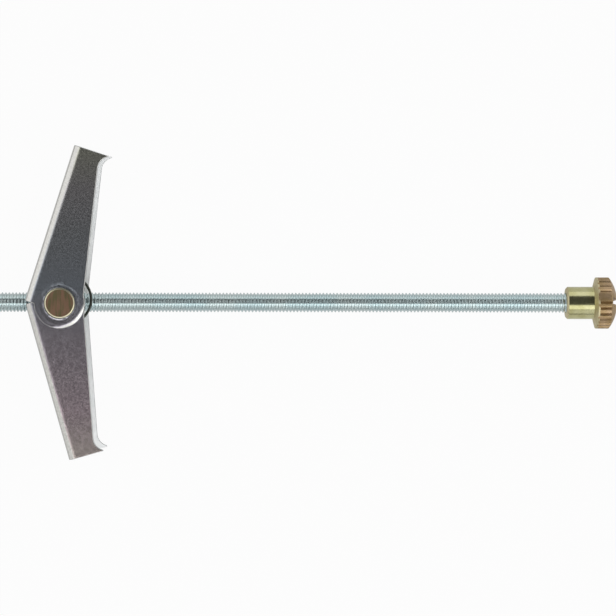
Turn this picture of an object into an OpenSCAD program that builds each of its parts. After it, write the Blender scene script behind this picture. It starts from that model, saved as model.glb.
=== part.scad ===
// Spring toggle bolt: a threaded rod with a cross pin nut that carries two
// sprung sheet-metal wings, and a blind knurled nut with a driver slot.
// Frame: origin where the nut's sleeve meets its shoulder, on the rod's axis.
// +X runs out of the nut's head, -X runs down the rod to the wings, and +Z is
// up, with the part lying on its back flanges and the nut's rim.

/* [Rod] */
// Thread crest diameter, for M4
rod_d = 3.94; // [3:0.02:5]
// Length over both ends
rod_len = 125; // [115:1:180]
// Chamfer at each end
rod_chamfer = 0.45; // [0.1:0.05:0.9]
// Distance from the pin's axis to the rod's free end, as screwed
tail_len = 15.6; // [9.5:0.1:60]

/* [Pin nut] */
// Diameter of the cross pin
pin_d = 6.1; // [5.4:0.05:6.6]
// How far each end stands back from the outer ears
pin_recess = 0.05; // [0:0.01:0.4]
// Chamfer at each end
pin_chamfer = 0.3; // [0.05:0.05:0.6]

/* [Wings] */
// Width over both wings' ears, along the pin
hub_width = 10.4; // [10:0.1:14]
// Thickness of the sheet
sheet_t = 0.9; // [0.6:0.05:1]
// Inside radius of both folds
fold_r = 0.7; // [0.3:0.05:1]
// Length from the pin's axis to the square-cut end
wing_len = 31.1; // [26:0.1:42]
// Distance from the pin's axis to the web's outer face
web_off = 6.94; // [6.6:0.02:8]
// Distance from the pin's axis to the line of the free edge
edge_off = 4.63; // [4.4:0.01:5]
// Angle between the free edge and the web
taper = 11.4; // [8:0.1:13]
// Radius of the ears around the pin
ear_r = 5.07; // [4.8:0.01:5.6]
// How far the end tooth's point stands past the pin's line
tooth_out = 0.3; // [-0.2:0.05:1]
// Length of the tooth's blunt point
tooth_flat = 0.2; // [0.1:0.05:0.6]
// Radius of the hollow under the tooth
tooth_r = 2.6; // [2:0.1:3.4]
// Angle of the webs from square to the rod, when sprung open
open_angle = 16.7; // [12:0.1:22]
// Angle by which the sprung-open pair sits turned round the pin
pair_angle = 1.2; // [0:0.1:2]
// Chamfer around the pin's hole
ear_chamfer = 0.25; // [0:0.05:0.4]

/* [Spring] */
// Diameter of the wire
wire_d = 0.54; // [0.3:0.02:0.56]
// Mean radius of the coil
coil_r = 5.03; // [4.8:0.01:5.2]
// Offset of the relaxed coil from the pin, along the rod
coil_off_x = 1.1; // [0:0.05:1.2]
// Offset of the relaxed coil from the pin, across the rod
coil_off_y = 0.8; // [0:0.05:0.9]
// Length of each straight leg
leg_len = 14; // [8:0.5:20]

/* [Knurled nut] */
// Diameter of the sleeve
sleeve_d = 6.56; // [5.8:0.02:8]
// Length of the sleeve
sleeve_len = 5.5; // [3:0.1:10]
// Chamfer at the sleeve's mouth
sleeve_chamfer = 0.35; // [0.1:0.05:0.6]
// Diameter over the knurl
head_d = 10.4; // [9:0.1:12]
// Length of the sloped shoulder under the rim
shoulder_len = 0.55; // [0.3:0.05:1]
// Length of the full-diameter rim
rim_len = 2.6; // [2:0.1:4]
// Length of the plain part of the rim, before the knurl
rim_land = 0.35; // [0.2:0.05:1]
// Height of the domed top
dome_h = 1.75; // [1.2:0.05:2.5]
// Number of knurl grooves
knurls = 26; // [16:1:36]
// Turn of the knurl about the axis
knurl_turn = 10.5; // [0:0.5:22]
// Depth of each groove
knurl_depth = 0.34; // [0.1:0.02:0.5]
// Width of the driver slot
slot_w = 1.3; // [0.8:0.05:1.6]
// Depth of the driver slot from the dome's top
slot_depth = 1.4; // [0.5:0.05:1.5]
// Turn of the slot about the axis, from upright
slot_turn = -8.6; // [-90:0.2:90]
// Metal left between the blind bore and the slot
floor_t = 1.5; // [1:0.1:2.5]

/* [Clearances] */
// Radial play between the rod and the two threads that hold it
thread_clear = 0.05; // [0.02:0.01:0.1]
// Radial play between the pin and the ears
pin_clear = 0.08; // [0.02:0.01:0.1]
// Gap between the two wings' nested ears
nest_gap = 0.05; // [0.03:0.01:0.15]
// Gap between the webs' ends and the rod, when sprung open
stop_gap = 0.1; // [0.05:0.05:0.5]
// Gap on each side of the rod in the webs' notches
notch_gap = 0.25; // [0.1:0.05:0.4]
// Gap between the spring's wire and what it lies against
wire_gap = 0.06; // [0.04:0.01:0.1]
// Gap between the rod's end and the foot of the blind bore
end_gap = 0.3; // [0.1:0.05:0.6]

/* [Hidden] */
$fn = 96;
over = 1; // how far a cutting tool runs past the metal

rod_r = rod_d / 2;
pin_r = pin_d / 2;
half_w = hub_width / 2;
inner_half = half_w - sheet_t - nest_gap; // outer face of the flange that nests inside
fold_out = fold_r + sheet_t;
lean_upper = open_angle + pair_angle;
lean_lower = open_angle - pair_angle;

// the web is notched for the rod: the notch's foot stops the wing against the rod,
// and the lug on each side of it runs on until it would meet the other wing's
web_in = web_off - sheet_t;
web_start = (rod_r + stop_gap - web_in * sin(lean_lower)) / cos(lean_lower);
lug_end = stop_gap - web_in * sin(open_angle);
notch_w = rod_d + 2 * notch_gap;

// the free edge, in the wing's own axes: u away from the web, v along it
edge_dir = [-sin(taper), cos(taper)];
edge_normal = [cos(taper), sin(taper)];
function edge_u(v) = (edge_off - v * edge_normal.y) / edge_normal.x;
tooth_tip = [tooth_out, wing_len - tooth_flat];
tooth_h = (tooth_tip.x - edge_u(tooth_tip.y)) * edge_normal.x;
tooth_s = sqrt(2 * tooth_r * tooth_h - tooth_h * tooth_h);
tooth_root = tooth_tip - tooth_h * edge_normal - tooth_s * edge_dir;

head_r = head_d / 2;
head_top = shoulder_len + rim_len + dome_h;
slot_floor = head_top - slot_depth;
bore_end = slot_floor - floor_t;
rod_end = bore_end - end_gap;
dome_r = (head_r * head_r + dome_h * dome_h) / (2 * dome_h);
hub_x = rod_end - rod_len + tail_len;

// the coil winds between the rod and the nested ear
wire_r = wire_d / 2;
coil_centre = [coil_off_x, coil_off_y];
coil_z0 = rod_r + wire_gap + wire_r;
coil_z1 = inner_half - sheet_t - wire_gap - wire_r;
// angle off the web at which a leg's tip just reaches the web's inner face
function leg_splay(lean, side) =
    let (reach = web_in - wire_r - wire_gap
            + coil_centre.x * cos(lean) - side * coil_centre.y * sin(lean))
    atan2(leg_len, coil_r) - acos(reach / norm([leg_len, coil_r]));
leg_upper = lean_upper - leg_splay(lean_upper, 1);
leg_lower = lean_lower - leg_splay(lean_lower, -1);
coil_steps = 56;
wire_sides = 10;

// ---- helpers ----

// turns what is built along +Z so that it runs along +X
module along_rod() {
    rotate([0, 90, 0]) children();
}

// moves what is built around the pin's axis to its place on the rod
module at_hub() {
    translate([hub_x, 0, 0]) children();
}

// a bar along Z from z0 to z1, with a cone of the same height as the chamfer at each end
module chamfered_bar(r, z0, z1, chamfer) {
    translate([0, 0, z0 + chamfer])
        cylinder(h = z1 - z0 - 2 * chamfer, r = r);
    translate([0, 0, z0])
        cylinder(h = chamfer, r1 = r - chamfer, r2 = r);
    translate([0, 0, z1 - chamfer])
        cylinder(h = chamfer, r1 = r, r2 = r - chamfer);
}

// ---- rod ----

module threaded_rod() {
    color("lightsteelblue")
        along_rod()
            chamfered_bar(rod_r, rod_end - rod_len, rod_end, rod_chamfer);
}

// ---- pin nut ----

module pin_nut() {
    color("darkkhaki")
        at_hub()
            difference() {
                chamfered_bar(pin_r, pin_recess - half_w, half_w - pin_recess, pin_chamfer);
                along_rod()
                    cylinder(h = pin_d + 2 * over, r = rod_r + thread_clear, center = true);
            }
}

// ---- wings ----

// solid outline of the U in u and z, with its two outer corners rounded
module rounded_channel(left, right, z0, z1, r) {
    translate([left + r, z0])
        square([right - left - r, z1 - z0]);
    translate([left, z0 + r])
        square([r, z1 - z0 - 2 * r]);
    for (z = [z0 + r, z1 - r])
        translate([left + r, z])
            circle(r = r);
}

// the folded sheet as a bar along v, open away from the web
module channel_bar() {
    back = -inner_half;
    rotate([90, 0, 0])
        translate([0, 0, -wing_len - over])
            linear_extrude(height = wing_len + ear_r + 2 * over)
                difference() {
                    rounded_channel(-web_off, ear_r + over, back, half_w, fold_out);
                    rounded_channel(-web_in, ear_r + 2 * over, back + sheet_t, half_w - sheet_t, fold_r);
                }
}

// the wing's outline seen along the pin
module wing_outline() {
    difference() {
        union() {
            circle(r = ear_r);
            polygon([
                [edge_u(web_start), web_start],
                tooth_root,
                tooth_tip,
                [tooth_out, wing_len],
                [-web_off, wing_len],
                [-web_off, lug_end],
                [0, lug_end],
            ]);
        }
        translate(tooth_root + tooth_r * edge_normal)
            circle(r = tooth_r);
    }
}

// one wing stood square to the rod; both wings are the same stamping
module wing() {
    bore = pin_r + pin_clear;
    difference() {
        intersection() {
            channel_bar();
            translate([0, 0, -half_w])
                linear_extrude(height = hub_width)
                    wing_outline();
        }
        cylinder(h = hub_width + 2 * over, r = bore, center = true);
        translate([-web_off - over, lug_end - over, -notch_w / 2])
            cube([web_off + over - bore, web_start - lug_end + over, notch_w]);
        translate([0, 0, half_w - ear_chamfer])
            cylinder(h = ear_chamfer, r1 = bore, r2 = bore + ear_chamfer);
        translate([0, 0, -inner_half])
            cylinder(h = ear_chamfer, r1 = bore + ear_chamfer, r2 = bore);
    }
}

module wing_upper() {
    color("silver")
        at_hub()
            rotate([0, 0, -lean_upper])
                wing();
}

module wing_lower() {
    color("gainsboro")
        at_hub()
            rotate([180, 0, 0])
                rotate([0, 0, -lean_lower])
                    wing();
}

// ---- spring ----

// the coil starts where the lower leg leaves it and winds clockwise to the upper leg
coil_from = 180 + leg_lower;
coil_to = 180 - leg_upper - 360;
function coil_point(s) =
    let (a = coil_from + (coil_to - coil_from) * s)
    [coil_centre.x + coil_r * cos(a), coil_centre.y + coil_r * sin(a), coil_z0 + (coil_z1 - coil_z0) * s];
function leg_tip(from, lean, side) = from + leg_len * [sin(lean), side * cos(lean), 0];
spring_path = concat(
    [leg_tip(coil_point(0), leg_lower, -1)],
    [for (i = [0 : coil_steps]) coil_point(i / coil_steps)],
    [leg_tip(coil_point(1), leg_upper, 1)]
);

// a round wire along a path that stays nearly level, as one closed skin
module wire(path, r, sides) {
    last = len(path) - 1;
    function heading(i) =
        let (d = path[min(i + 1, last)] - path[max(i - 1, 0)])
        d / norm(d);
    function ring(i) =
        let (d = heading(i), flat = cross([0, 0, 1], d), across = flat / norm(flat), up = cross(d, across))
        [for (k = [0 : sides - 1]) path[i] + r * (cos(k * 360 / sides) * across + sin(k * 360 / sides) * up)];
    polyhedron(
        points = [for (i = [0 : last]) each ring(i)],
        faces = concat(
            [[for (k = [0 : sides - 1]) k]],
            [for (i = [0 : last - 1], k = [0 : sides - 1])
                let (a = i * sides + k, b = i * sides + (k + 1) % sides)
                [a, a + sides, b + sides, b]],
            [[for (k = [sides - 1 : -1 : 0]) last * sides + k]]
        )
    );
}

module torsion_spring() {
    color("dimgray")
        at_hub()
            wire(spring_path, wire_r, wire_sides);
}

// ---- knurled nut ----

module knurled_nut() {
    groove_side = knurl_depth * 2 * sqrt(2); // a square bar, sunk by its corner
    color("goldenrod")
        along_rod()
            difference() {
                union() {
                    translate([0, 0, -sleeve_len])
                        cylinder(h = sleeve_chamfer, r1 = sleeve_d / 2 - sleeve_chamfer, r2 = sleeve_d / 2);
                    translate([0, 0, sleeve_chamfer - sleeve_len])
                        cylinder(h = sleeve_len - sleeve_chamfer, r = sleeve_d / 2);
                    cylinder(h = shoulder_len, r1 = sleeve_d / 2, r2 = head_r);
                    translate([0, 0, shoulder_len])
                        cylinder(h = rim_len, r = head_r);
                    intersection() {
                        translate([0, 0, head_top - dome_r])
                            sphere(r = dome_r);
                        translate([0, 0, head_top - dome_h])
                            cylinder(h = dome_h + over, r = head_r + over);
                    }
                }
                for (i = [0 : knurls - 1])
                    rotate([0, 0, knurl_turn + i * 360 / knurls])
                        translate([head_r - knurl_depth, 0, shoulder_len + rim_land])
                            rotate([0, 0, -45])
                                cube([groove_side, groove_side, head_top]);
                rotate([0, 0, slot_turn])
                    translate([-head_r - over, -slot_w / 2, slot_floor])
                        cube([head_d + 2 * over, slot_w, slot_depth + over]);
                translate([0, 0, -sleeve_len - over])
                    cylinder(h = sleeve_len + bore_end + over, r = rod_r + thread_clear);
            }
}

threaded_rod();
pin_nut();
wing_upper();
wing_lower();
torsion_spring();
knurled_nut();
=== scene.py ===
import math

import bmesh
import bpy
import numpy as np
from mathutils import Matrix, Vector


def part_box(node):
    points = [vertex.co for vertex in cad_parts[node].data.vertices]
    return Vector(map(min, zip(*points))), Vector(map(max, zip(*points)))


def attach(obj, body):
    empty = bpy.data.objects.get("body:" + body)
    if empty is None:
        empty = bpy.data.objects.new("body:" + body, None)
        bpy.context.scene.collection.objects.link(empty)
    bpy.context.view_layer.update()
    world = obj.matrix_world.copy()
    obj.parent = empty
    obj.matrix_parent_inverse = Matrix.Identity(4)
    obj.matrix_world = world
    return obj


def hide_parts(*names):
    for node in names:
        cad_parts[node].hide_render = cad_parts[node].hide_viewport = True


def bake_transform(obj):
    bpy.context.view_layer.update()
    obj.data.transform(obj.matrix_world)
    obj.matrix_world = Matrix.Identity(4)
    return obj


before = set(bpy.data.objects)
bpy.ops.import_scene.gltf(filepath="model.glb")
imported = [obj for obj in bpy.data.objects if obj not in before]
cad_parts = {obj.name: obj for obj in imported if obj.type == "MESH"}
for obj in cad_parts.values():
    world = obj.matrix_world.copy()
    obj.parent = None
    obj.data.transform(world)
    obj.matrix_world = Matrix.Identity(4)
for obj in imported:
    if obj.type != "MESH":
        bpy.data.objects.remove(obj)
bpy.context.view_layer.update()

# ---------------------------------------------------------------------------
# Threaded rod
# M4 x 0.7 all the way along, rolled from drawn steel wire, cropped, chamfered
# and then barrel-plated with bright zinc. The knurled nut holds its +X end.
# ---------------------------------------------------------------------------
MM = 0.001
PITCH = 0.7 * MM
CREST_R = 1.97 * MM
THREAD_DEPTH = 0.3 * MM
ROD_CHAMFER = 0.45 * MM
ROD_SIDES = 40
# the thread's profile over one pitch: where each point lies along it, and its share of the depth
PROFILE_AT = np.array([-0.12, -0.08, 0.08, 0.12, 0.34, 0.38, 0.62, 0.66])
PROFILE_DEEP = np.array([0.05, 0.0, 0.0, 0.05, 0.95, 1.0, 1.0, 0.95])

rod_low, rod_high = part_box("threaded_rod")
rod_x0, rod_x1 = rod_low[0], rod_high[0]


def put(name, data):
    """Links a new object to the scene and gives it back. It starts at the origin, unturned and unscaled."""
    thing = bpy.data.objects.new(name, data)
    bpy.context.scene.collection.objects.link(thing)
    return thing


def skin(name, points, faces, weld, turn_out=False):
    """Smooth-shaded piece from an array of corners and a list of the corner numbers of each face. Corners
    nearer than weld are made one, which closes poles and seams. turn_out makes every face point outwards."""
    mesh = bpy.data.meshes.new(name)
    mesh.from_pydata(points.tolist(), [], faces)
    bm = bmesh.new()
    bm.from_mesh(mesh)
    bmesh.ops.remove_doubles(bm, verts=bm.verts, dist=weld)
    if turn_out:
        bmesh.ops.recalc_face_normals(bm, faces=bm.faces)
    bm.to_mesh(mesh)
    bm.free()
    mesh.shade_smooth()
    return put(name, mesh)


def threaded_bar():
    """Screw surface: x = x0 + pitch * (turn + along + angle / 2 pi), radius = crest - depth * profile(along),
    cut off flat at both ends and kept inside a 45 degree cone there. After the last column comes the first
    one again, a turn further on. Each flat end is a fan from its centre to the ring where the cone ends."""
    steps = len(PROFILE_AT)
    turns = math.ceil((rod_x1 - rod_x0) / PITCH) + 2
    along = (np.arange(-1, turns)[:, None] + PROFILE_AT[None, :]).ravel()
    deep = np.tile(PROFILE_DEEP, turns + 1)
    angle = np.arange(ROD_SIDES) / ROD_SIDES
    x = rod_x0 + PITCH * (along[:, None] + angle[None, :])
    x = np.clip(x, rod_x0, rod_x1)
    end_r = CREST_R - ROD_CHAMFER
    cone = end_r + np.minimum(x - rod_x0, rod_x1 - x)
    r = np.minimum(CREST_R - THREAD_DEPTH * deep[:, None], cone)
    across, up = np.cos(2 * math.pi * angle), np.sin(2 * math.pi * angle)
    points = np.stack([x, r * across, r * up], axis=-1).reshape(-1, 3)
    i, j = np.meshgrid(np.arange(len(along)), np.arange(ROD_SIDES), indexing="ij")
    corner = i * ROD_SIDES + j
    beside = np.where(j + 1 < ROD_SIDES, corner + 1, (i + steps) * ROD_SIDES)
    quads = np.stack([corner, beside, beside + ROD_SIDES, corner + ROD_SIDES], axis=-1)
    quads = quads[i + 1 + steps < len(along)]
    quad_x = x.ravel()[quads]
    quads = quads[~((quad_x == rod_x0).all(-1) | (quad_x == rod_x1).all(-1))]
    faces = quads.tolist()
    spoke = np.arange(ROD_SIDES)
    following = (spoke + 1) % ROD_SIDES
    for x_end, one, two in ((rod_x0, following, spoke), (rod_x1, spoke, following)):
        base = len(points)
        ring = np.stack([np.full(ROD_SIDES, x_end), end_r * across, end_r * up], axis=-1)
        points = np.vstack([points, ring, [[x_end, 0, 0]]])
        centre = np.full(ROD_SIDES, base + ROD_SIDES)
        faces += np.stack([base + one, base + two, centre], axis=-1).tolist()
    return points, faces


bar_points, bar_faces = threaded_bar()
rod = skin("rod_thread", bar_points, bar_faces, weld=1e-8, turn_out=True)
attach(rod, "rod")
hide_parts("threaded_rod")


def colour(code):
    """sRGB hex text to linear RGBA: c / 12.92 up to 0.04045, and ((c + 0.055) / 1.055) ^ 2.4 above it."""
    c = np.array([int(code[i:i + 2], 16) for i in (1, 3, 5)]) / 255
    c = np.where(c <= 0.04045, c / 12.92, ((c + 0.055) / 1.055) ** 2.4)
    return (*c.tolist(), 1.0)


def add(tree, kind, settings=None, links=None):
    """Adds a node. settings holds its properties, and its sockets' values by name or number.
    links holds what feeds its sockets, by name or number."""
    node = tree.nodes.new(kind)
    for key, value in (settings or {}).items():
        if isinstance(key, str) and hasattr(node, key):
            setattr(node, key, value)
        else:
            node.inputs[key].default_value = value
    for key, source in (links or {}).items():
        tree.links.new(source, node.inputs[key])
    return node


RELIEF = 0.02 * MM


def grained_metal(name, rough, spread, grain_mm, bump, stretch=None):
    """Plated metal with no colour yet. A noise of grain_mm swings its roughness by spread about rough and
    raises its surface by bump. The plating's own grain is about a hundredth of a millimetre, too fine to
    show, so it is drawn coarser. stretch scales the patterns by axis. Gives the material, the point that its
    patterns read, and the noise."""
    material = bpy.data.materials.new(name)
    material.use_nodes = True
    tree = material.node_tree
    shader = tree.nodes["Principled BSDF"]
    shader.inputs["Metallic"].default_value = 1.0
    place = add(tree, "ShaderNodeTexCoord").outputs["Object"]
    if stretch:
        place = add(tree, "ShaderNodeMapping", {"Scale": stretch}, {"Vector": place}).outputs["Vector"]
    noise = {"Scale": 1 / (grain_mm * MM), "Detail": 3.0, "Roughness": 0.6}
    grain = add(tree, "ShaderNodeTexNoise", noise, {"Vector": place}).outputs["Fac"]
    # the noise seldom leaves 0.3 to 0.7
    swing = {"From Min": 0.3, "From Max": 0.7, "To Min": rough - spread, "To Max": rough + spread}
    gloss = add(tree, "ShaderNodeMapRange", swing, {"Value": grain})
    relief = add(tree, "ShaderNodeBump", {"Strength": bump, "Distance": RELIEF}, {"Height": grain})
    tree.links.new(gloss.outputs["Result"], shader.inputs["Roughness"])
    tree.links.new(relief.outputs["Normal"], shader.inputs["Normal"])
    return material, place, grain


def plated_metal(name, tints, rough, spread, patch_mm, grain_mm, bump, stops=(0.38, 0.62), stretch=None):
    """Grained metal whose colour drifts between two close tints over patches of patch_mm. Noise under the
    first stop gives the first tint, noise over the second gives the second, and between them they mix."""
    material, place, _ = grained_metal(name, rough, spread, grain_mm, bump, stretch)
    tree = material.node_tree
    noise = {"Scale": 1 / (patch_mm * MM), "Detail": 2.0, "Roughness": 0.5}
    patches = add(tree, "ShaderNodeTexNoise", noise, {"Vector": place})
    drift = add(tree, "ShaderNodeValToRGB", {}, {"Fac": patches.outputs["Fac"]})
    for element, stop, tint in zip(drift.color_ramp.elements, stops, tints):
        element.position = stop
        element.color = colour(tint)
    tree.links.new(drift.outputs["Color"], tree.nodes["Principled BSDF"].inputs["Base Color"])
    return material


# Bright zinc on rolled thread: cool silver with a faint blue-green cast,
# and glossy on the flanks, where the rolling dies have burnished it.
rod_zinc = plated_metal(
    "bright_zinc_thread", ("#cdd9d9", "#c4d5d7"),
    rough=0.22, spread=0.03, patch_mm=6.0, grain_mm=0.5, bump=0.04
)
rod.data.materials.append(rod_zinc)

# ---------------------------------------------------------------------------
# Cross pin nut
# Turned from bright bar, cross-drilled and tapped M4 for the rod, then zinc
# plated and yellow passivated. The wings' ears turn on its two ends.
# ---------------------------------------------------------------------------
# faces within SOLID_FLAT of each other are made one, and an edge over SHARP is rounded
SOLID_FLAT = math.radians(0.5)
SHARP = math.radians(30)
PIN_EDGE = 0.04 * MM
END_CHAMFER = 0.3 * MM
CHAMFER_RISE = 0.17 * MM
ON_EDGE = 0.02 * MM
FACES_UP = 0.99


def soften(name, node, width, body):
    """A copy of a solid's own faces, merged, with its sharp edges broken by a small round of that width."""
    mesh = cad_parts[node].data.copy()
    mesh.name = name
    mesh.materials.clear()
    bm = bmesh.new()
    bm.from_mesh(mesh)
    bmesh.ops.remove_doubles(bm, verts=bm.verts, dist=1e-6)
    bmesh.ops.dissolve_limit(bm, angle_limit=SOLID_FLAT, verts=bm.verts, edges=bm.edges)
    bm.to_mesh(mesh)
    bm.free()
    mesh.shade_smooth()
    piece = put(name, mesh)
    edge = piece.modifiers.new("broken_edges", "BEVEL")
    edge.width = width
    edge.segments = 2
    edge.limit_method = "ANGLE"
    edge.angle_limit = SHARP
    weigh = piece.modifiers.new("flat_faces_stay_flat", "WEIGHTED_NORMAL")
    weigh.keep_sharp = False
    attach(piece, body)
    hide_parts(node)
    return piece


pin = soften("pin_nut_turned", "pin_nut", PIN_EDGE, "pin")
# Yellow passivated zinc: cream where it was turned, and browner on the two ends,
# which were faced across the bar and are crossed by fine upright tool marks.
# The marks are patches drawn out along Y.
pin_yellow = plated_metal(
    "yellow_zinc_turned", ("#ece5c8", "#e2dab8"),
    rough=0.3, spread=0.03, patch_mm=1.5, grain_mm=0.3, bump=0.05
)
end_brown = plated_metal(
    "yellow_zinc_faced", ("#a0806a", "#82785a"),
    rough=0.35, spread=0.05, patch_mm=1.0, grain_mm=0.25, bump=0.1, stops=(0.42, 0.6), stretch=(1.7, 0.3, 1.0)
)
pin.data.materials.append(pin_yellow)
pin.data.materials.append(end_brown)
# the solid's 45 degree chamfer at each end is made a flatter one, CHAMFER_RISE high
pin_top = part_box("pin_nut")[1][2]
for corner in pin.data.vertices:
    if abs(abs(corner.co.z) - (pin_top - END_CHAMFER)) < ON_EDGE:
        corner.co.z = math.copysign(pin_top - CHAMFER_RISE, corner.co.z)
for face in pin.data.polygons:
    face.material_index = 1 if abs(face.normal.z) > FACES_UP else 0

# ---------------------------------------------------------------------------
# Wings
# Two of the same pressed channel, blanked and folded from 0.9 mm steel strip
# and barrel-plated with bright zinc. The second is turned over, so the pair's
# ears nest on the pin; the blank's outside edges are rolled by the die.
# ---------------------------------------------------------------------------
SHEET = 0.9 * MM
NEST_GAP = 0.05 * MM
STOP_GAP = 0.1 * MM
# the channel: its outer faces from the pin's middle, and how far each fold reaches
HALF_WIDTH = 5.2 * MM
INNER_HALF = HALF_WIDTH - SHEET - NEST_GAP
WEB_OFF = 6.94 * MM
WING_LEN = 31.1 * MM
NOTCH_HALF = 2.22 * MM
FOLD_OUT = 1.8 * MM
BEND_EASE = 0.6
# the flange: its free edge tapers away from the pin and ends in a tooth with a hollow before it
EDGE_OFF = 4.63 * MM
TAPER = math.radians(11.4)
TOOTH_OUT = 0.3 * MM
TOOTH_FLAT = 0.2 * MM
TOOTH_R = 2.6 * MM
# the ear and its hole, and CUT, where the fan of faces round the hole gives way to level rows
EAR_R = 5.07 * MM
HOLE_R = 3.13 * MM
FLAT_R = 4.2 * MM
CUT = 6.5 * MM
# what the press leaves: a dish round the hole, the ear's face rolled over, and rounded edges. Roll and round
# are widest at one side of the ear, and the round is nowhere on it less than EAR_LEAST of its widest
HOLE_DISH = 0.32 * MM
EAR_ROLL = 0.24 * MM
EAR_WIDEST = math.radians(-25)
ROLL_FOCUS = 1.3
EAR_LEAST = 0.4
EAR_ROUND = 0.45 * MM
EDGE_ROUND = 0.42 * MM
BACK_ROUND = 0.08 * MM
HOLE_ROUND = 0.04 * MM
# how near a corner lies to a flange's outer face, and an edge to the hole or the ear, to count as on it
ON_FACE = 0.01 * MM
ON_HOLE = 0.2 * MM
ON_EAR = 0.1 * MM
SHEET_FLAT = math.radians(0.3)
# how far each wing leans from square to the rod, in degrees
OPEN_ANGLE = 16.7
LEAN_UPPER = OPEN_ANGLE + 1.2
LEAN_LOWER = OPEN_ANGLE - 1.2
# rows and columns of the skin
LUG_STEPS = 4
NOTCH_STEPS = 6
ROW_STEPS = 12
CUT_STEPS = 6
EDGE_STEPS = 8
TOOTH_STEPS = 16
EAR_STEPS = 56
DISH_STEPS = 6
FOLD_STEPS = 18
FAN_AT = np.array([0.15, 0.3, 0.45, 1.0])

HUB_X = (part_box("pin_nut")[0][0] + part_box("pin_nut")[1][0]) / 2
web_inside = WEB_OFF - SHEET
lower_lean = math.radians(LEAN_LOWER)
web_start = (CREST_R + STOP_GAP - web_inside * math.sin(lower_lean)) / math.cos(lower_lean)
lug_end = STOP_GAP - web_inside * math.sin(math.radians(OPEN_ANGLE))


def edge_u(v):
    """Free edge of the flange, as a straight line: u = (offset - v sin taper) / cos taper."""
    return (EDGE_OFF - v * math.sin(TAPER)) / math.cos(TAPER)


def spaced(a, b, n):
    """n + 1 points from a to b on a straight line: a * (1 - t) + b * t."""
    t = np.linspace(0, 1, n + 1)[:, None]
    return np.asarray(a)[None, :] * (1 - t) + np.asarray(b)[None, :] * t


def arc(centre, r, a0, a1, n):
    """n + 1 points on a circle from angle a0 to a1: centre + r * (cos a, sin a)."""
    a = np.linspace(a0, a1, n + 1)
    return np.stack([centre[0] + r * np.cos(a), centre[1] + r * np.sin(a)], axis=-1)


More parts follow.
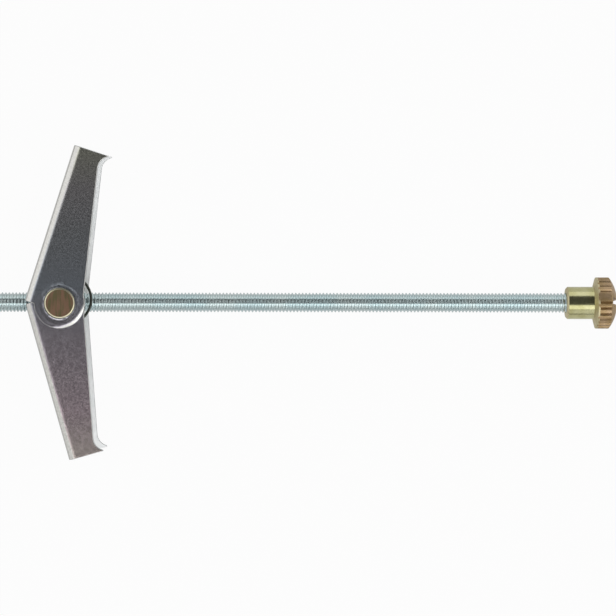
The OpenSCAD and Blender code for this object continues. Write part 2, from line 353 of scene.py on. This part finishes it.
def wing_skin():
    """Outside skin of one wing, u away from the web and v along it. Round the hole each flange is a fan of
    rays, r from the hole to the outline at one angle; beyond v = CUT it is level rows from the fold line to
    the outline. A strip round both folds and the notched web joins the two flanges. A fold tightens toward
    its middle: its heading is 90 degrees * (s - ease * sin(2 pi s) / 2 pi), and is summed along s."""
    u_fold = FOLD_OUT - WEB_OFF
    # the tooth's tip, and where the circle of its hollow leaves the free edge
    square = np.array([math.cos(TAPER), math.sin(TAPER)])
    along = np.array([-math.sin(TAPER), math.cos(TAPER)])
    tip = np.array([TOOTH_OUT, WING_LEN - TOOTH_FLAT])
    height = (tip[0] - edge_u(tip[1])) * square[0]
    root = tip - height * square - math.sqrt(2 * TOOTH_R * height - height * height) * along
    # the outline once round the hole, clockwise from where the lug leaves the ear; the lug's own edge is
    # one step, because a shorter one would hold back the rounding of every edge
    ear_right = TAPER + math.acos(EDGE_OFF / EAR_R)
    ear_left = math.asin(-lug_end / EAR_R) - math.pi
    ear = arc((0, 0), EAR_R, ear_right, ear_left, EAR_STEPS)
    lug = np.linspace(lug_end, web_start, LUG_STEPS + 1)
    low = np.concatenate([lug, np.linspace(web_start, CUT, NOTCH_STEPS + 1)[1:]])
    loop = np.vstack([
        spaced(ear[-1], (u_fold, lug_end), 1),
        np.stack([np.full(len(low) - 1, u_fold), low[1:]], axis=-1),
        spaced((u_fold, CUT), (edge_u(CUT), CUT), ROW_STEPS)[1:],
        spaced((edge_u(CUT), CUT), ear[0], CUT_STEPS)[1:],
        ear[1:],
    ])
    angle = np.arctan2(loop[:, 1], loop[:, 0])
    radii = np.linspace(HOLE_R, FLAT_R, DISH_STEPS + 1)
    rings = radii[:, None, None] * np.stack([np.cos(angle), np.sin(angle)], axis=-1)
    fan = np.concatenate([rings, rings[-1] + FAN_AT[:, None, None] * (loop - rings[-1])])
    # level rows to the square-cut end
    a_root = math.pi + TAPER
    a_tip = a_root - math.acos(1 - height / TOOTH_R)
    hollow = arc(root + TOOTH_R * square, TOOTH_R, a_root, a_tip, TOOTH_STEPS)
    right = np.vstack([spaced((edge_u(CUT), CUT), root, EDGE_STEPS)[:-1], hollow, [[TOOTH_OUT, WING_LEN]]])
    s = np.linspace(0, 1, ROW_STEPS + 1)
    row_u = u_fold + (right[:, :1] - u_fold) * s
    row_v = np.repeat(right[:, 1:], ROW_STEPS + 1, axis=1)
    level = np.stack([row_u, row_v], axis=-1)
    # once round both folds and the web, with points at the notch's two sides
    s = np.linspace(0, 1, FOLD_STEPS + 1)
    heading = math.pi / 2 * (s - BEND_EASE * np.sin(2 * math.pi * s) / (2 * math.pi))
    run = np.append(0, np.cumsum(np.cos(heading[1:]) + np.cos(heading[:-1])))
    fall = np.append(0, np.cumsum(np.sin(heading[1:]) + np.sin(heading[:-1])))
    run = FOLD_OUT * run / run[-1]
    fall = FOLD_OUT * fall / fall[-1]
    near_z, far_z = HALF_WIDTH - fall, fall - INNER_HALF
    round_u = np.concatenate([u_fold - run, [-WEB_OFF] * 2, u_fold - run[::-1]])
    round_z = np.concatenate([near_z, [NOTCH_HALF, -NOTCH_HALF], far_z[::-1]])
    rows = np.concatenate([low, right[1:, 1]])
    sheets = []
    for z in (HALF_WIDTH, -INNER_HALF):
        for flat in (fan, level):
            sheets.append(np.concatenate([flat, np.full(flat.shape[:2] + (1,), z)], axis=-1))
    folded = np.broadcast_arrays(round_u[None, :], rows[:, None], round_z[None, :])
    sheets.append(np.stack(folded, axis=-1))
    faces, total = [], 0
    for sheet in sheets:
        count, cols = sheet.shape[:2]
        i, j = np.meshgrid(np.arange(count - 1), np.arange(cols - 1), indexing="ij")
        corner = total + i * cols + j
        cells = np.stack([corner, corner + 1, corner + cols + 1, corner + cols], axis=-1)
        if sheet is sheets[-1]:
            cells = cells[~((i < LUG_STEPS) & (j == len(near_z)))]
        faces += cells.reshape(-1, 4).tolist()
        total += count * cols
    return np.vstack([sheet.reshape(-1, 3) for sheet in sheets]), faces


# Bright zinc on cold-rolled strip: nearly a mirror outside. Inside the channel
# the faces are painted a plain near-white, which stands in for the light falling
# on the far flange's inner face, and the sheared edges are left darker and a little coarse.
sheet_zinc, sheet_place, sheet_grain = grained_metal(
    "bright_zinc_sheet", rough=0.225, spread=0.03, grain_mm=0.4, bump=0.01
)
# painted light: the inner faces' plain near-white, with no metal in it, stands in for the light on the far
# flange's inner face
inside_painted_lit = plated_metal(
    "inside_zinc_painted_lit_white", ("#fbfcfc", "#f4f6f6"),
    rough=0.62, spread=0.04, patch_mm=4.0, grain_mm=0.4, bump=0.05
)
inside_painted_lit.node_tree.nodes["Principled BSDF"].inputs["Metallic"].default_value = 0.0
sheet_edge = plated_metal(
    "zinc_sheared_edge", ("#9fa2a4", "#96999b"),
    rough=0.36, spread=0.04, patch_mm=3.0, grain_mm=0.3, bump=0.05
)
# The clear passivation on the faces is a film so thin that it tints them: from
# the lower wing's end to the upper wing's it goes straw, lilac, blue and straw.
# The tints' brightness is partly painted shade: darkest on the upper wing near
# the pin and lighter toward its end, for how the flanges catch the light there.
FILM_AND_SHADE_REACH = 32 * MM
FILM_AND_SHADE_ENDS = ((0.03, "#d9cdc8"), (0.97, "#d8d8ca"))
FILM_AND_SHADE_BETWEEN = ((0.16, "#d9c7ce"), (0.4, "#d1c9d2"), (0.55, "#b9c0ca"), (0.72, "#c0c3c7"), (0.86, "#cfccce"))
tree = sheet_zinc.node_tree
axes = add(tree, "ShaderNodeSeparateXYZ", {}, {"Vector": sheet_place})
wing_span = {"From Min": -FILM_AND_SHADE_REACH, "From Max": FILM_AND_SHADE_REACH}
span = add(tree, "ShaderNodeMapRange", wing_span, {"Value": axes.outputs["Y"]})
# the film's tints along Y, with painted shade in their brightness: darker on the upper wing near the pin
film_and_shade = add(tree, "ShaderNodeValToRGB", {}, {"Fac": span.outputs["Result"]})
for element, (stop, tint) in zip(film_and_shade.color_ramp.elements, FILM_AND_SHADE_ENDS):
    element.position = stop
    element.color = colour(tint)
for stop, tint in FILM_AND_SHADE_BETWEEN:
    film_and_shade.color_ramp.elements.new(stop).color = colour(tint)
# Tumbling in the barrel rubs that film off wherever the sheet turns away from
# flat: it starts to go at 4 degrees and is gone at 14, given as their cosines.
RUB_STARTS = 0.998
RUBBED_BARE = 0.97
BARE_ZINC = "#cccbc7"
normal = add(tree, "ShaderNodeTexCoord").outputs["Normal"]
facing = add(tree, "ShaderNodeSeparateXYZ", {}, {"Vector": normal})
flatness = add(tree, "ShaderNodeMath", {"operation": "ABSOLUTE"}, {0: facing.outputs["Z"]})
rub = {"From Min": RUB_STARTS, "From Max": RUBBED_BARE}
rubbing = add(tree, "ShaderNodeMapRange", rub, {"Value": flatness.outputs[0]})
rubbed = add(
    tree, "ShaderNodeMix", {"data_type": "RGBA", 7: colour(BARE_ZINC)},
    {0: rubbing.outputs["Result"], 6: film_and_shade.outputs["Color"]}
)
# Its crystals show only as a faint mottle, which the grain's own noise gives.
MOTTLE = {"From Min": 0.4, "From Max": 0.6, "To Min": 0.935, "To Max": 1.05}
mottle = add(tree, "ShaderNodeMapRange", MOTTLE, {"Value": sheet_grain})
mottled = add(
    tree, "ShaderNodeVectorMath", {"operation": "MULTIPLY"},
    {0: rubbed.outputs[2], 1: mottle.outputs["Result"]}
)
tree.links.new(mottled.outputs["Vector"], tree.nodes["Principled BSDF"].inputs["Base Color"])
# numbers of the finishes on a wing: its outer faces, its inner faces and its sheared edges
OUTER, INNER, SHEARED = 0, 1, 2


def press(bm):
    """Moves the outer faces of a wing's wall as the press does. The die rolls the ear over most on the free
    side: depth * share^2 * cos^2(focus * angle from there), share being 0 at FLAT_R and 1 at the ear's edge.
    The punch draws a low dish round the hole, level again at its edge: depth * inner^2 * (1 - inner), inner
    being 0 at FLAT_R and 1 at the hole."""
    for vert in bm.verts:
        x, y, z = vert.co
        if max(z - HALF_WIDTH, -INNER_HALF - z) < -ON_FACE:
            continue
        share = min((vert.co.xy.length - FLAT_R) / (EAR_R - FLAT_R), 1)
        inner = (FLAT_R - vert.co.xy.length) / (FLAT_R - HOLE_R)
        turned = ROLL_FOCUS * (math.atan2(y, x) - EAR_WIDEST)
        if share > 0 and abs(turned) < math.pi / 2:
            vert.co.z -= math.copysign(EAR_ROLL * (share * math.cos(turned)) ** 2, z)
        if inner > 0:
            vert.co.z -= math.copysign(HOLE_DISH * inner ** 2 * max(1 - inner, 0), z)


def weigh_edges(bm):
    """Bevel weight of each sheared edge, as its round over EAR_ROUND. On the inner side the round is
    BACK_ROUND. On the outer side it is HOLE_ROUND at the hole and EDGE_ROUND along the flange, and round the
    ear the weight is least + (1 - least) * cos(angle from its widest place), with a cosine below 0 as 0."""
    weight = bm.edges.layers.float.new("bevel_weight_edge")
    for edge in bm.edges:
        kinds = sorted(face.material_index for face in edge.link_faces)
        middle = (edge.verts[0].co + edge.verts[1].co).xy / 2
        if kinds == [INNER, SHEARED]:
            edge[weight] = BACK_ROUND / EAR_ROUND
        elif kinds == [OUTER, SHEARED]:
            toward = math.cos(math.atan2(middle.y, middle.x) - EAR_WIDEST)
            if middle.length < HOLE_R + ON_HOLE:
                edge[weight] = HOLE_ROUND / EAR_ROUND
            elif middle.length < EAR_R + ON_EAR:
                edge[weight] = EAR_LEAST + (1 - EAR_LEAST) * max(toward, 0)
            else:
                edge[weight] = EDGE_ROUND / EAR_ROUND


def make_wing(name, node, body, lean, over):
    """Gives the skin its thickness, presses it, rounds its edges, and turns it to its place on the pin."""
    points, faces = wing_skin()
    flat = skin(name + "_flat", points, faces, weld=1e-7)
    bm = bmesh.new()
    bm.from_mesh(flat.data)
    bmesh.ops.recalc_face_normals(bm, faces=bm.faces)
    highest = max(bm.faces, key=lambda face: face.calc_center_median().z)
    if highest.normal.z < 0:
        bmesh.ops.reverse_faces(bm, faces=bm.faces)
    bm.to_mesh(flat.data)
    bm.free()
    for finish in (sheet_zinc, inside_painted_lit, sheet_edge):
        flat.data.materials.append(finish)
    wall = flat.modifiers.new("sheet", "SOLIDIFY")
    wall.thickness = SHEET
    wall.offset = -1.0
    wall.use_even_offset = True
    wall.material_offset = INNER
    wall.material_offset_rim = SHEARED
    solid = bpy.data.meshes.new_from_object(flat.evaluated_get(bpy.context.evaluated_depsgraph_get()))
    bpy.data.objects.remove(flat)
    bm = bmesh.new()
    bm.from_mesh(solid)
    press(bm)
    bmesh.ops.dissolve_limit(bm, angle_limit=SHEET_FLAT, verts=bm.verts, edges=bm.edges, delimit={"MATERIAL"})
    weigh_edges(bm)
    bm.to_mesh(solid)
    bm.free()
    solid.name = name
    place = Matrix.Translation((HUB_X, 0, 0))
    if over:
        place = place @ Matrix.Rotation(math.pi, 4, "X")
    solid.transform(place @ Matrix.Rotation(-math.radians(lean), 4, "Z"))
    solid.shade_smooth()
    wing = put(name, solid)
    edges = wing.modifiers.new("die_roll", "BEVEL")
    edges.width = EAR_ROUND
    edges.segments = 4
    edges.limit_method = "WEIGHT"
    # where two rounds meet the bevel leaves a few edges of no length, which this closes
    joined = wing.modifiers.new("no_double_points", "WELD")
    joined.mode = "CONNECTED"
    joined.merge_threshold = 1e-7
    weigh = wing.modifiers.new("flat_faces_stay_flat", "WEIGHTED_NORMAL")
    weigh.keep_sharp = False
    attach(wing, body)
    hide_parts(node)


make_wing("wing_upper_sheet", "wing_upper", "wing_a", LEAN_UPPER, False)
make_wing("wing_lower_sheet", "wing_lower", "wing_b", LEAN_LOWER, True)

# ---------------------------------------------------------------------------
# Torsion spring
# One loose coil of drawn spring wire round the pin nut, between the rod and
# the near ears, with a straight leg along the inside of each wing's web.
# ---------------------------------------------------------------------------
WIRE_R = 0.27 * MM
WIRE_GAP = 0.06 * MM
WIRE_SIDES = 12
COIL_R = 4.98 * MM
COIL_OFF = np.array([1.15, 0.68]) * MM
COIL_STEPS = 30
COIL_MIDDLE = 0.5
LEG = 14 * MM
LEG_STEPS = 12
# each end of the wire is a dome half as high as the wire's radius: how far out each ring lies, and how wide
DOME_HEIGHT = 0.5
DOME = np.array([(0.5, 0.87), (0.87, 0.5), (1.0, 0.0)])
# the coil's height at its two ends, at the lower wing's leg and at the upper wing's; it rises evenly between
# them
coil_z0 = CREST_R + WIRE_GAP + WIRE_R
coil_z1 = INNER_HALF - SHEET - WIRE_GAP - WIRE_R


def leg_angle(lean, side):
    """Direction of a leg from square to the rod, so that its tip just reaches the web's inner face: the
    wing's lean less the angle at which a leg of that length, on a coil of that radius, stands off the web."""
    lean = math.radians(lean)
    off_hub = COIL_OFF[0] * math.cos(lean) - side * COIL_OFF[1] * math.sin(lean)
    reach = web_inside - WIRE_R - WIRE_GAP + off_hub
    return lean - (math.atan2(LEG, COIL_R) - math.acos(reach / math.hypot(LEG, COIL_R)))


leg_up, leg_down = leg_angle(LEAN_UPPER, 1), leg_angle(LEAN_LOWER, -1)
coil_from, coil_to = math.pi + leg_down, -math.pi - leg_up


def wire_path(s0, s1, lean, side):
    """Half the coil, from its middle to where a leg leaves it, and then the leg. The coil is centre +
    radius * (cos a, sin a) at an even rise, and the leg is a level straight line."""
    s = np.linspace(s0, s1, COIL_STEPS + 1)
    a = coil_from + (coil_to - coil_from) * s
    x = HUB_X + COIL_OFF[0] + COIL_R * np.cos(a)
    y = COIL_OFF[1] + COIL_R * np.sin(a)
    coil = np.stack([x, y, coil_z0 + (coil_z1 - coil_z0) * s], axis=-1)
    heading = np.array([math.sin(lean), side * math.cos(lean), 0])
    leg = coil[-1] + np.linspace(0, LEG, LEG_STEPS + 1)[1:, None] * heading
    return np.vstack([coil, leg])


def wire(name, path):
    """Round tube along a path: each ring is radius * (cos k * across + sin k * up), with across kept level.
    Both ends are domed."""
    heading = np.gradient(path, axis=0)
    heading /= np.linalg.norm(heading, axis=1)[:, None]
    across = np.cross([0.0, 0.0, 1.0], heading)
    across /= np.linalg.norm(across, axis=1)[:, None]
    up = np.cross(heading, across)
    k = np.arange(WIRE_SIDES) * 2 * math.pi / WIRE_SIDES
    turn = np.cos(k)[None, :, None] * across[:, None] + np.sin(k)[None, :, None] * up[:, None]
    rings = path[:, None] + WIRE_R * turn
    domes = []
    for at, sign in ((0, -1), (-1, 1)):
        out = sign * heading[at] * WIRE_R * DOME_HEIGHT
        domes.append(np.stack([path[at] + out * far + (rings[at] - path[at]) * wide for far, wide in DOME]))
    rings = np.concatenate([domes[0][::-1], rings, domes[1]])
    i, j = np.meshgrid(np.arange(len(rings) - 1), np.arange(WIRE_SIDES), indexing="ij")
    a = i * WIRE_SIDES + j
    b = i * WIRE_SIDES + (j + 1) % WIRE_SIDES
    faces = np.stack([a, a + WIRE_SIDES, b + WIRE_SIDES, b], axis=-1).reshape(-1, 4)
    return skin(name, rings.reshape(-1, 3), faces.tolist(), weld=1e-7, turn_out=True)


# Drawn spring steel, oiled: near black, with a soft gloss along the wire.
spring_wire = plated_metal(
    "drawn_spring_wire", ("#484b45", "#3c3f3a"),
    rough=0.38, spread=0.04, patch_mm=2.0, grain_mm=0.1, bump=0.1
)
# each half of the wire runs from the coil's middle out along one wing's leg
for half_name, s_leg, lean, side, wing_body in (
    ("spring_half_upper", 1.0, leg_up, 1, "wing_a"),
    ("spring_half_lower", 0.0, leg_down, -1, "wing_b"),
):
    half = wire(half_name, wire_path(COIL_MIDDLE, s_leg, lean, side))
    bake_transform(half)
    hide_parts("torsion_spring")
    half.data.materials.append(spring_wire)

# ---------------------------------------------------------------------------
# Knurled nut
# Turned from free-cutting bar with a plain sleeve, a straight-knurled head and
# a domed, sawn-slotted top, drilled and tapped M4 blind, then yellow passivated.
# ---------------------------------------------------------------------------
NUT_EDGE = 0.06 * MM
SLEEVE_CHAMFER = 0.35 * MM
# along X: where the chamfered mouth ends, where the shoulder under the head starts, and where the knurl does
MOUTH_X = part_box("knurled_nut")[0][0] + SLEEVE_CHAMFER
SHOULDER_X = 0.05 * MM
KNURL_X = 0.9 * MM

nut = soften("knurled_nut_turned", "knurled_nut", NUT_EDGE, "nut")
# Yellow passivated zinc: pale olive on the polished sleeve, paler and duller on
# the shoulder and the sleeve's mouth, and browner on the head, where the knurl
# is rough and fingers have rubbed it.
sleeve_yellow = plated_metal(
    "yellow_zinc_sleeve", ("#cbc89c", "#bab684"),
    rough=0.2, spread=0.02, patch_mm=3.0, grain_mm=0.4, bump=0.02
)
head_yellow = plated_metal(
    "yellow_zinc_knurl", ("#b39a7a", "#a08862"),
    rough=0.45, spread=0.05, patch_mm=2.0, grain_mm=0.3, bump=0.15
)
shoulder_yellow = plated_metal(
    "yellow_zinc_shoulder", ("#cdc3a0", "#bfb48e"),
    rough=0.5, spread=0.04, patch_mm=2.0, grain_mm=0.3, bump=0.1
)
for finish in (sleeve_yellow, head_yellow, shoulder_yellow):
    nut.data.materials.append(finish)
for face in nut.data.polygons:
    if MOUTH_X < face.center.x < SHOULDER_X:
        face.material_index = 0
    elif face.center.x < KNURL_X:
        face.material_index = 2
    else:
        face.material_index = 1

# ---------------------------------------------------------------------------
# The set
# A table of white paper, six soft boxes, a dim room and a camera above. Of plain
# white the camera sees a share WHITE_SEEN in the table, and metal mirrors a
# share WHITE_MIRRORED. The rest is the lit paper.
# ---------------------------------------------------------------------------
TABLE_HALF = 2
TABLE_GAP = 0.02 * MM
PAPER = "#b4b4b4"
WHITE_SEEN = 0.96
WHITE_MIRRORED = 0.5
SKYLINE_TOP = 0.12
SKYLINE_LIGHT = 0.6
ROOM_LIGHT = 0.06

table_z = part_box("knurled_nut")[0][2] - TABLE_GAP
table_mesh = bpy.data.meshes.new("table_top")
table_corners = [(x * TABLE_HALF, y * TABLE_HALF, table_z) for x, y in ((-1, -1), (1, -1), (1, 1), (-1, 1))]
table_mesh.from_pydata(table_corners, [], [(0, 1, 2, 3)])
table_top = put("table_top", table_mesh)
white = bpy.data.materials.new("white_table")
white.use_nodes = True
tree = white.node_tree
tree.nodes.clear()
ray = add(tree, "ShaderNodeLightPath").outputs
paper = add(tree, "ShaderNodeBsdfDiffuse", {"Color": colour(PAPER)})
glow = add(tree, "ShaderNodeEmission", {"Color": (1, 1, 1, 1), "Strength": 1.0})
either = {0: ray["Is Glossy Ray"], 1: ray["Is Transmission Ray"]}
mirrored = add(tree, "ShaderNodeMath", {"operation": "MAXIMUM"}, either)
seen = add(tree, "ShaderNodeMath", {"operation": "MULTIPLY", 1: WHITE_SEEN}, {0: ray["Is Camera Ray"]})
glowing = add(
    tree, "ShaderNodeMath", {"operation": "MULTIPLY_ADD", 1: WHITE_MIRRORED},
    {0: mirrored.outputs[0], 2: seen.outputs[0]}
)
surface = {0: glowing.outputs[0], 1: paper.outputs[0], 2: glow.outputs[0]}
blend_in = add(tree, "ShaderNodeMixShader", {}, surface)
add(tree, "ShaderNodeOutputMaterial", {}, {"Surface": blend_in.outputs[0]})
table_mesh.materials.append(white)

# the room above is dim, but the view past the table is white, and metal shows a white skyline too
world = bpy.data.worlds.new("studio")
bpy.context.scene.world = world
world.use_nodes = True
tree = world.node_tree
ray = add(tree, "ShaderNodeLightPath").outputs
place = add(tree, "ShaderNodeTexCoord")
axes = add(tree, "ShaderNodeSeparateXYZ", {}, {"Vector": place.outputs["Generated"]})
fade = {"From Min": SKYLINE_TOP, "From Max": 0.0, "To Min": 0.0, "To Max": SKYLINE_LIGHT}
skyline = add(tree, "ShaderNodeMapRange", fade, {"Value": axes.outputs["Z"]})
either = {0: ray["Is Glossy Ray"], 1: ray["Is Transmission Ray"]}
mirrored = add(tree, "ShaderNodeMath", {"operation": "MAXIMUM"}, either)
both = {0: mirrored.outputs[0], 1: skyline.outputs["Result"]}
edge = add(tree, "ShaderNodeMath", {"operation": "MULTIPLY"}, both)
seen = add(tree, "ShaderNodeMath", {"operation": "MAXIMUM"}, {0: ray["Is Camera Ray"], 1: edge.outputs[0]})
level = add(tree, "ShaderNodeMath", {"operation": "MAXIMUM", 1: ROOM_LIGHT}, {0: seen.outputs[0]})
background = tree.nodes["Background"]
background.inputs["Color"].default_value = (1, 1, 1, 1)
tree.links.new(level.outputs[0], background.inputs["Strength"])

BOXES_FACE = Vector((-60 * MM, 0, 0))


def soft_box(name, toward, distance, width, height, radiance):
    """Area lamp that faces the part from that direction, width across and height up. Its watts are
    radiance * pi * area."""
    lamp = bpy.data.lights.new(name, "AREA")
    lamp.shape = "RECTANGLE"
    lamp.size, lamp.size_y = width, height
    lamp.energy = radiance * math.pi * width * height
    holder = put(name, lamp)
    aim = Vector(toward).normalized()
    side = Vector((0, 0, 1)).cross(aim).normalized()
    holder.location = BOXES_FACE + aim * distance
    holder.rotation_mode = "QUATERNION"
    holder.rotation_quaternion = Matrix((side, aim.cross(side), aim)).transposed().to_quaternion()


soft_box("front_box", (0, -0.470, 0.883), distance=0.9, width=1.1, height=0.48, radiance=1.4)
soft_box("low_front_box", (0, -0.91, 0.41), distance=0.9, width=1.2, height=0.5, radiance=0.7)
soft_box("left_box", (-0.78, 0.28, 0.56), distance=0.9, width=0.62, height=1.25, radiance=1.12)
soft_box("left_front_box", (-0.82, -0.33, 0.45), distance=0.9, width=0.62, height=0.92, radiance=0.85)
soft_box("right_box", (0.8, -0.15, 0.58), distance=0.7, width=1.5, height=0.75, radiance=1.45)
soft_box("back_box", (0, 0.95, 0.33), distance=0.9, width=1.6, height=0.55, radiance=1.0)

# The camera looks nearly straight down, from over the middle of the rod.
CAMERA_AT = Vector((-59.07 * MM, 18.72 * MM, 441.57 * MM))
CAMERA_TURN = (("X", -2.571), ("Y", -0.163), ("Z", 0.09))
lens = bpy.data.cameras.new("camera")
lens.sensor_width = 36
lens.lens = 127.25
lens.clip_start = 0.05
lens.clip_end = 10
camera = put("camera", lens)
pose = Matrix.Translation(CAMERA_AT)
for axis, degrees in CAMERA_TURN:
    pose = pose @ Matrix.Rotation(math.radians(degrees), 4, axis)
camera.matrix_world = pose
bpy.context.scene.camera = camera
bpy.context.scene.view_settings.view_transform = "Standard"
